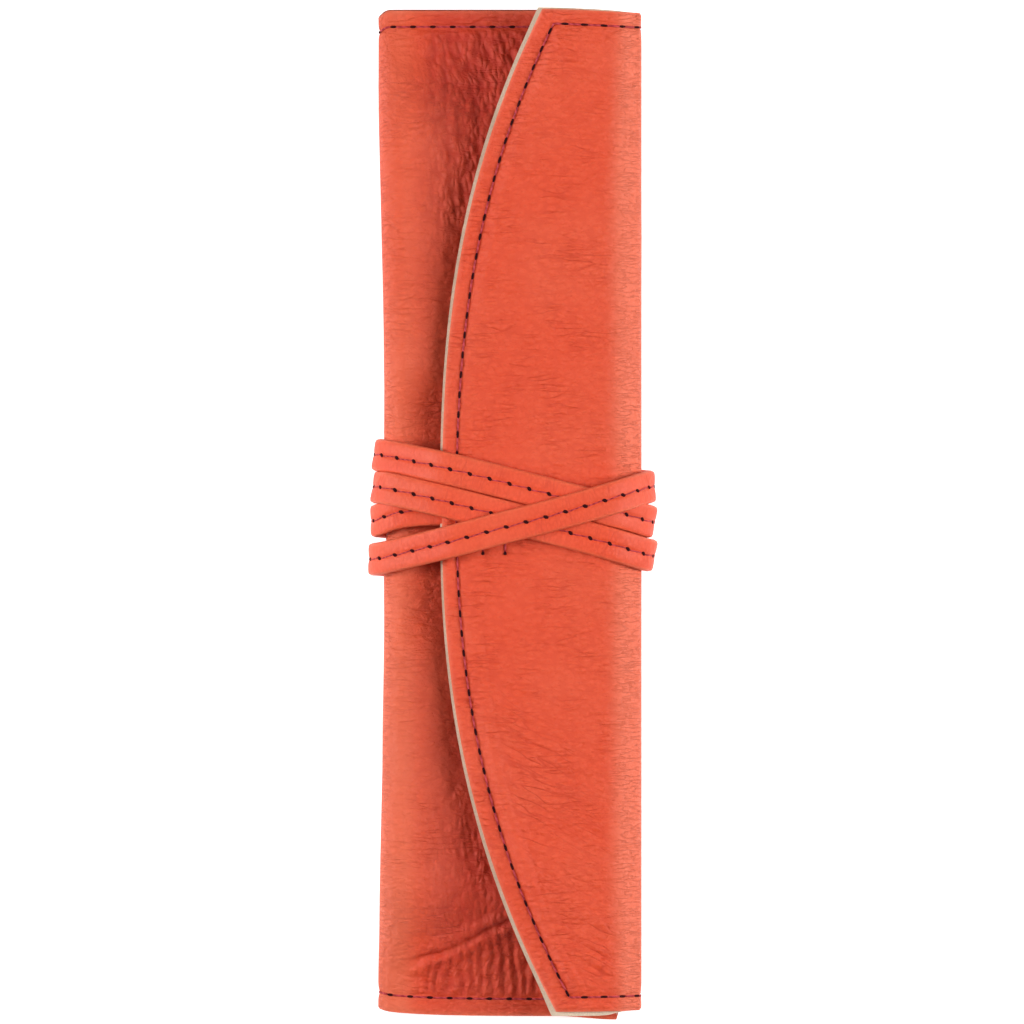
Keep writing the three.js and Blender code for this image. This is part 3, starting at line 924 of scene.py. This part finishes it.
def flap_creases(x, y):
    """Height on the flap, and how much of it is crossed by slanting creases."""
    slope = HEAD_SWEEP[0] * HEAD_SWEEP[1] / HALF_LENGTH * np.abs(y / HALF_LENGTH) ** 1.5
    edge = (x - flap_edge(y)) / np.hypot(1, slope)
    inside = smooth(edge, 3.2, 6) * (1 - smooth(np.abs(y), 95, 99))
    away = smooth(np.abs(y), 16, 34)
    soft = noise(x / 12, y / 15, 61) * 0.22 + noise(x / 5.5, y / 6, 62) * 0.09
    level = ridges(x / 15 + 5, y / 3.1 + 0.7 * noise(x / 9, y / 11, 64), 63)
    high = inside * (soft + 0.2 * away * (level - 0.5))
    roll = smooth(-y, 22, 60) + 0.45 * smooth(y, 30, 60)
    high += 1.1 * inside * roll * bump_at(edge, 6.2, 2.2)
    over = 0.45 * x + y + 1.2 * noise(x / 7, y / 9, 65)
    slanted = ridges((x - 0.45 * y) / 19, over / 2.9, 66)
    slant = smooth(-y, 18, 60) * smooth(edge, 5, 10) * (1 - smooth(edge, 16, 34))
    slant = slant * (0.45 + 0.55 * smooth(noise(x / 10, y / 13, 70), -0.4, 0.5))
    high += 0.75 * inside * slant * (slanted - 0.5)
    high += 0.07 * inside * (noise(x / 1.9, y / 1.3, 74) + noise((x + y) / 2.6, (y - x) / 1.7, 75))
    line = edge - 7.8 - 0.7 * noise(x / 9, y / 12, 69)
    high -= 0.3 * inside * smooth(-y, 14, 30) * bump_at(line, 0, 0.4)
    head = smooth(y, 36, 60) * (1 - smooth(edge, 14, 30))
    high += inside * head * 0.16 * (pebbles(x / 2.1, y / 2.5, 68) - 0.5)
    high += 0.1 * bump_at(edge, 1.5, 0.8)
    return high, np.clip(slant * inside, 0, 1)


def curved_seam():
    """The flap's seam: along its curved edge and both ends, and down the wall to the cut."""
    y = np.linspace(-SEAM_Y, SEAM_Y, 161)
    slope = np.gradient(flap_edge(y), y[1] - y[0])
    ends = np.where(y > 0, EDGE_INSET["head"], EDGE_INSET["foot"])
    inset = lerp(EDGE_INSET["middle"], ends, np.abs(y / HALF_LENGTH))
    x = flap_edge(y) + inset * np.hypot(1, slope)
    t_edge = flap_t(x)
    foot = np.linspace(0, t_edge[0], 40)[:-1]
    head = np.linspace(t_edge[-1], 0, 40)[1:]
    t = np.concatenate([foot, t_edge, head])
    y = np.concatenate([np.full(len(foot), -SEAM_Y), y, np.full(len(head), SEAM_Y)])
    return t, y


def flap_line(t, y):
    """Points and normals on the flap's skin."""
    points = flap_point(t, y)
    step = 0.2
    across = flap_point(t + step, y) - flap_point(np.maximum(t - step, 0), y)
    along = flap_point(t, y + step) - flap_point(t, y - step)
    return points, unit(np.cross(along, across))


def make_flap(start):
    """The flap, whose flat pattern goes on from where the body's ends."""
    face, nominal, t = flap_grid(ROWS, FLAP_COLUMNS, 0.0, flap_edge)
    back, _, _ = flap_grid(ROWS, FLAP_COLUMNS, LEATHER, flap_edge)
    uv = np.stack([start + t, nominal], -1) / UNIT
    normal = normals_of(face)
    high, slant = flap_creases(face[..., 0], nominal)
    level = smooth(t, BEND_START + 3, BEND_END + 2)
    high = high * level
    for path in (flap_line(*curved_seam())[0], anchor_line()[0]):
        high -= seam_press(face, path)
    edge = np.minimum(flap_t(flap_edge(nominal)) - t, HALF_LENGTH - np.abs(nominal))
    high -= cut_edge(edge, 0.7, 0.4)
    face = face + normal * high[..., None]
    bend = smooth(normal[..., 0], 0.05, 0.75)
    # Painted sheen on the side wall and the upper bend, and paler along the cut edge from wear.
    wear_and_sheen = bend + bump_at(np.clip(edge, 0, 0.7), 0, 0.35)
    values = {"slant": slant * level, "bend": bend, "wear_and_sheen": np.clip(wear_and_sheen, 0, 1)}
    made = add_sheet("flap_skin", BODY_LEATHER, face, back, uv, values)
    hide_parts("flap_leather")
    return made


# Linings


def make_body_lining():
    extent = (MOUTH_X + LINING_PAST, LINING_COLUMNS)
    face, nominal = pouch_grid(LINING_ROWS, LINING_AT, *extent)
    back, _ = pouch_grid(LINING_ROWS, LINING_AT + LINING, *extent)
    for grid in (face, back):
        grid[..., 1] *= 1 - LINING_SHORT / HALF_LENGTH
    uv, _ = flat_uv(face, nominal, 0.0)
    made = add_sheet("body_lining", SUEDE, face, back, uv, coarse=1)
    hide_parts("pouch_lining", "fold_lining")
    return made


def lining_edge(y):
    return flap_edge(y) - lerp(*LINING_SHOW, np.abs(y / HALF_LENGTH))


def make_flap_lining():
    fineness = (FLAP_LINING_ROWS, FLAP_LINING_COLUMNS)
    face, nominal, t = flap_grid(*fineness, LINING_AT, lining_edge)
    back, _, _ = flap_grid(*fineness, LINING_AT + LINING, lining_edge)
    show = np.where(nominal > 0, 0.3, 0.85 - 0.6 * smooth(face[..., 0], 19, 23))
    outward = np.sign(nominal) * show * smooth(np.abs(nominal), HALF_LENGTH - 6, HALF_LENGTH)
    for grid in (face, back):
        grid[..., 1] += outward * smooth(t, BEND_START, BEND_END)
    uv = np.stack([t, nominal], -1) / UNIT
    made = add_sheet("flap_lining_skin", SUEDE, face, back, uv, coarse=1)
    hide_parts("flap_lining")
    return made


# Strap


REACH = 27.6  # from the middle to the strap's turns
HALF_STRAP = STRAP_THICK / 2
STRAP_OVER = TOP_Z - STRAP_PRESS + STRAP_CLEAR["flap"] + HALF_STRAP  # its middle's height on the flap
STRAP_UNDER = WAIST_BACK - STRAP_CLEAR["back"] - HALF_STRAP  # and under the back
ROOT_Z = TOP_Z - LINING_AT - LINING - STRAP_CLEAR["lining"] - HALF_STRAP
LEFT_CORNER = min(LEFT_RADIUS, 0.48 * (WAIST_FRONT - WAIST_BACK))
UPPER_CORNER = (LEFT_X + LEFT_CORNER, WAIST_FRONT - LEFT_CORNER)
LOWER_CORNER = (LEFT_X + LEFT_CORNER, WAIST_BACK + LEFT_CORNER)
RIGHT_CORNER = (WALL_X - BACK_RADIUS, WAIST_BACK + BACK_RADIUS)


def turn_arc(centre, radius_x, radius_z, degrees):
    angle = np.radians(degrees)
    return np.stack([centre[0] + radius_x * np.cos(angle), centre[1] + radius_z * np.sin(angle)], -1)


def level_run(first, last, z):
    return np.stack([np.linspace(first, last, 8), np.full(8, z)], -1)[1:]


def left_turn(leave, slack, lift):
    """Round the left edge from the end of a run on top, which lies `lift` higher than the turn."""
    reach = LEFT_CORNER + slack + HALF_STRAP
    dx, dz = leave[0] - UPPER_CORNER[0], leave[1] - UPPER_CORNER[1]
    start = math.degrees(math.atan2(dz, dx) + math.acos((reach + lift) / math.hypot(dx, dz)))
    degrees = np.linspace(start, 180, 10)
    radius = reach + lift * (1 - smooth(degrees, start, 170))
    upper = turn_arc(UPPER_CORNER, radius, radius, degrees)
    lower = turn_arc(LOWER_CORNER, reach, LOWER_CORNER[1] - STRAP_UNDER, np.linspace(180, 270, 10)[1:])
    return upper, lower


def right_turn(lift):
    """Over the side wall's upper bend, climbing onto whatever lies below."""
    share = np.linspace(0, 1, 24)
    t = lerp(BEND_START - 1, BEND_END, share)
    slack = lerp(STRAP_SLACK, STRAP_OVER - HALF_STRAP - TOP_Z, smooth(share, 0.2, 1))
    x, z, _ = profile_at(t, HALF_STRAP + slack + lift * smooth(share, 0.25, 0.85))
    return np.stack([x, z], -1)


def run_y(x, left_y, right_y, bow=0.0):
    """Where along the case a run across it lies, at x."""
    t = np.clip((x + REACH) / (2 * REACH), 0, 1)
    return lerp(left_y, right_y, t) + bow * (1 - (2 * t - 1) ** 4)


def root_y(x):
    """Where along the case the root run lies, at x: it leaves its anchor straight, then bends."""
    return lerp(LEFT_Y["root"], 0.7, 1 - np.exp(-np.clip(x + REACH, 0, None) / 3.5))


def strap_path():
    """The middle line of the strap: root, three turns and the tail."""
    low_turn = turn_arc(
        RIGHT_CORNER,
        BACK_RADIUS + STRAP_SLACK + HALF_STRAP,
        RIGHT_CORNER[1] - STRAP_UNDER,
        np.linspace(-90, 0, 10),
    )
    round_back = [level_run(LOWER_CORNER[0], RIGHT_CORNER[0], STRAP_UNDER), low_turn]
    tail = [level_run(LOWER_CORNER[0], 10, STRAP_UNDER)]
    edge = EDGE_MIDDLE - 0.5
    root = [level_run(0.5, edge, ROOT_Z)]
    on_flap = [right_turn(0), level_run(FLAT_X, edge, STRAP_OVER)]
    on_top = [right_turn(LAYER), level_run(FLAT_X, EDGE_MIDDLE + 2, STRAP_OVER + LAYER)]
    runs = [
        # name, sections on top, slack and drop at the left edge, next run, sections underneath
        ("root", root, 1.35, 0, "first", round_back),
        ("first", on_flap, 1.0, LAYER, "second", round_back),
        ("second", on_flap, 0.8, 0, "third", round_back),
        ("third", on_top, 1.8, 0, "tail", tail),
    ]
    path = []
    for name, over, slack, lift, after, under in runs:
        upper, lower = left_turn(over[-1][-1], slack, lift)
        for part in (*over, upper):
            x, z = part[:, 0], part[:, 1]
            y = root_y(x) if name == "root" else run_y(x, LEFT_Y[name], RIGHT_Y[name], BOW[name])
            path.append(np.stack([x, y, z], -1))
        for part in (lower, *under):
            x, z = part[:, 0], part[:, 1]
            path.append(np.stack([x, run_y(x, LEFT_Y[name], RIGHT_Y[after]), z], -1))
    return np.concatenate(path)


def strap_line():
    """Even points, outward normals and width directions along the strap."""
    path = resample(strap_path(), 0.6)[0]
    for _ in range(14):
        path[1:-1] = (path[:-2] + 2 * path[1:-1] + path[2:]) / 4
    run = unit(np.gradient(path, axis=0))
    level = np.abs(run[:, 0]) > 0.93
    lengths = lengths_of(path)
    slope = np.interp(lengths, lengths[level], run[level, 1] / run[level, 0])
    across = unit(np.stack([-slope, 0 * slope + 1, 0 * slope], -1))
    normal = unit(np.cross(across, run))
    return path, normal, across


def strap_section():
    """Half round edges, slightly pillowed faces and a sunk stitch line on the outer one."""
    outer_points, inner_points = np.linspace(-1, 1, 25)[:-1], np.linspace(1, -1, 13)[:-1]
    across = np.concatenate([outer_points, inner_points])
    outer = np.arange(len(across)) < len(outer_points)
    edge = np.sqrt(1 - np.abs(across) ** 10)
    dip = np.where(outer, 0.22 * bump_at(across, 0, 0.10) + 0.10 * bump_at(across, 0, 0.34), 0)
    height = np.where(outer, 1, -1) * HALF_STRAP * edge - dip
    return np.stack([across * (STRAP_WIDE / 2), height], -1)


def make_strap():
    """The strap and its row of stitches."""
    path, normal, across = strap_line()
    section = strap_section()
    shape = (len(path), len(section))
    s = lengths_of(path)
    sway = 0.09 * noise(s / 17, 0 * s, 71)
    path = path + across * sway[:, None]
    wide = across[:, None, :] * section[None, :, :1]
    high = normal[:, None, :] * section[None, :, 1:]
    points = path[:, None, :] + wide + high
    u = np.broadcast_to(s[:, None], shape)
    around = lengths_of(section)
    v = np.broadcast_to(around[None, :], shape)
    ripple = 0.03 * noise(u / 3.1, v / 2.5, 72) + 0.02 * noise(u / 1.3, v / 1.2, 73)
    points = points + normal[:, None, :] * (ripple * np.sign(section[:, 1])[None, :])[..., None]
    place = np.arange(math.prod(shape)).reshape(shape)
    after = np.roll(place, -1, axis=1)
    quads = np.stack([place[:-1], after[:-1], after[1:], place[1:]], -1).reshape(-1, 4)
    faces = quads.tolist() + [place[0, ::-1].tolist(), place[-1].tolist()]
    uv = np.stack([v, u], -1).reshape(-1, 2) / UNIT
    # Painted highlight along the strap's rounded edges, with some rubbed wear.
    from_middle = np.abs(section[:, 0] / (STRAP_WIDE / 2))
    wear_and_sheen = np.broadcast_to(bump_at(from_middle, 0.97, 0.12)[None, :], shape).ravel()
    made = add_object("leather_strap", [STRAP_LEATHER], points.reshape(-1, 3), faces, uv, {"wear_and_sheen": wear_and_sheen})
    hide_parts("wrap_strap")
    face = path + normal * HALF_STRAP
    seam = stitch_row("strap_stitches", "strap_seam_thread", face, normal, **STRAP_STITCH)
    return made, seam


# Anchor of the strap, inside the flap


def anchor_line():
    """The two rows, joined at the head, that hold the strap's root and its patch to the flap."""
    left, right, foot, head = -6.2, -1.7, -8.7, 7.6
    corners = np.array([(left, foot), (left, head), (right, head), (right, foot)])
    line = np.concatenate([np.linspace(a, b, 12) for a, b in zip(corners, corners[1:])])
    return flap_line(flap_t(line[:, 0]), line[:, 1])


def make_anchor():
    low, high = node_box("anchor_patch")
    along, across = np.linspace(low[1], high[1], 49), np.linspace(low[0], high[0], 21)
    y, x = np.meshgrid(along, across, indexing="ij")
    edge = np.minimum(np.minimum(x - low[0], high[0] - x), np.minimum(y - low[1], high[1] - y))
    groove = 0.18 * bump_at(edge, 1.5, 0.35)
    outer = np.stack([x, y, low[2] + cut_edge(edge, 0.6, 0.2) + groove], -1)
    inner = np.stack([x, y, 0 * x + high[2]], -1)
    uv = np.stack([x, y], -1) / UNIT
    made = add_sheet("strap_anchor_patch", STRAP_LEATHER, outer, inner, uv, {"wear_and_sheen": bump_at(edge, 0, 0.3)})
    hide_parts("anchor_patch")
    return made


# Lights, floor and camera


def area_light(name, place, size, power):
    """A soft rectangular light, in metres, aimed at the case."""
    data = bpy.data.lights.new(name, "AREA")
    data.shape = "RECTANGLE"
    data.size, data.size_y = size
    data.energy = power
    made = link_new(name, data)
    made.location = place
    made.rotation_euler = (-Vector(place)).to_track_quat("-Z", "Y").to_euler()


def studio():
    """A white world, and soft lights from above and from low on both sides."""
    scene = bpy.context.scene
    world = bpy.data.worlds.new("studio")
    world.use_nodes = True
    background = world.node_tree.nodes["Background"]
    background.inputs["Color"].default_value = (1, 1, 1, 1)
    background.inputs["Strength"].default_value = 0.14
    scene.world = world
    area_light("soft_top", (0, 0.4, 3.4), (1.6, 1.6), 12.4)
    area_light("soft_left", (-1.0, 0.05, 0.62), (0.5, 1.1), 13.3)
    area_light("soft_right", (1.0, 0.05, 0.70), (0.45, 1.1), 14.2)
    scene.view_settings.view_transform = "Standard"


def make_floor():
    """A large floor, lit until it is white."""
    f = Finish("pale_floor")
    tone = f.noise(f.object_map(), 3.0, 2.0).outputs["Fac"]
    tint = f.mix(tone, (0.93, 0.93, 0.93, 1), (0.96, 0.96, 0.96, 1))
    glow = {"Emission_Color": (1, 1, 1, 1), "Emission_Strength": 0.6}
    finish = f.done(Base_Color=tint, Roughness=0.8, **glow)
    half = 3.0 / MM
    corners = [(-half, -half, 0), (half, -half, 0), (half, half, 0), (-half, half, 0)]
    add_object("floor", [finish], corners, [(0, 1, 2, 3)])


def camera():
    """A long lens that looks straight down, with the head end up."""
    reach = 3.0
    frame_height = 0.2085
    data = bpy.data.cameras.new("camera")
    data.sensor_width = 36
    data.lens = data.sensor_width * reach / frame_height
    made = link_new("camera", data)
    made.location = (-0.0003, 0.0001, reach + 0.014)
    bpy.context.scene.camera = made


# Assembly

camera()
studio()
make_floor()

body, body_end = make_body()
flap = make_flap(body_end)
body_lining = make_body_lining()
flap_lining = make_flap_lining()
anchor = make_anchor()
strap, strap_stitches = make_strap()

seam_rows = []
for end_name, side in (("head", 1), ("foot", -1)):
    line, normals = end_row(BODY_FACE, side), end_row(BODY_NORMAL, side)
    row = stitch_row(f"{end_name}_stitches", f"{end_name}_seam_thread", line, normals, **POUCH_STITCH)
    seam_rows.append(row)
mouth_line, mouth_normals = mouth_column(BODY_FACE), mouth_column(BODY_NORMAL)
mouth = stitch_row("mouth_stitches", "mouth_seam_thread", mouth_line, mouth_normals, **POUCH_STITCH)
flap_seam = flap_line(*curved_seam())
flap_stitches = stitch_row("flap_stitches", "flap_seam_thread", *flap_seam, **FLAP_STITCH)
anchor_stitches = stitch_row("anchor_stitches", "anchor_seam_thread", *anchor_line(), **ANCHOR_STITCH)

for piece in (body, body_lining, *seam_rows):
    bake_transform(piece)
for piece in (flap, flap_lining, flap_stitches):
    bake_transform(piece)
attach(mouth, "pouch")
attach(anchor, "flap")
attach(anchor_stitches, "flap")
for piece in (strap, strap_stitches):
    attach(piece, "flap")
    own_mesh(piece)
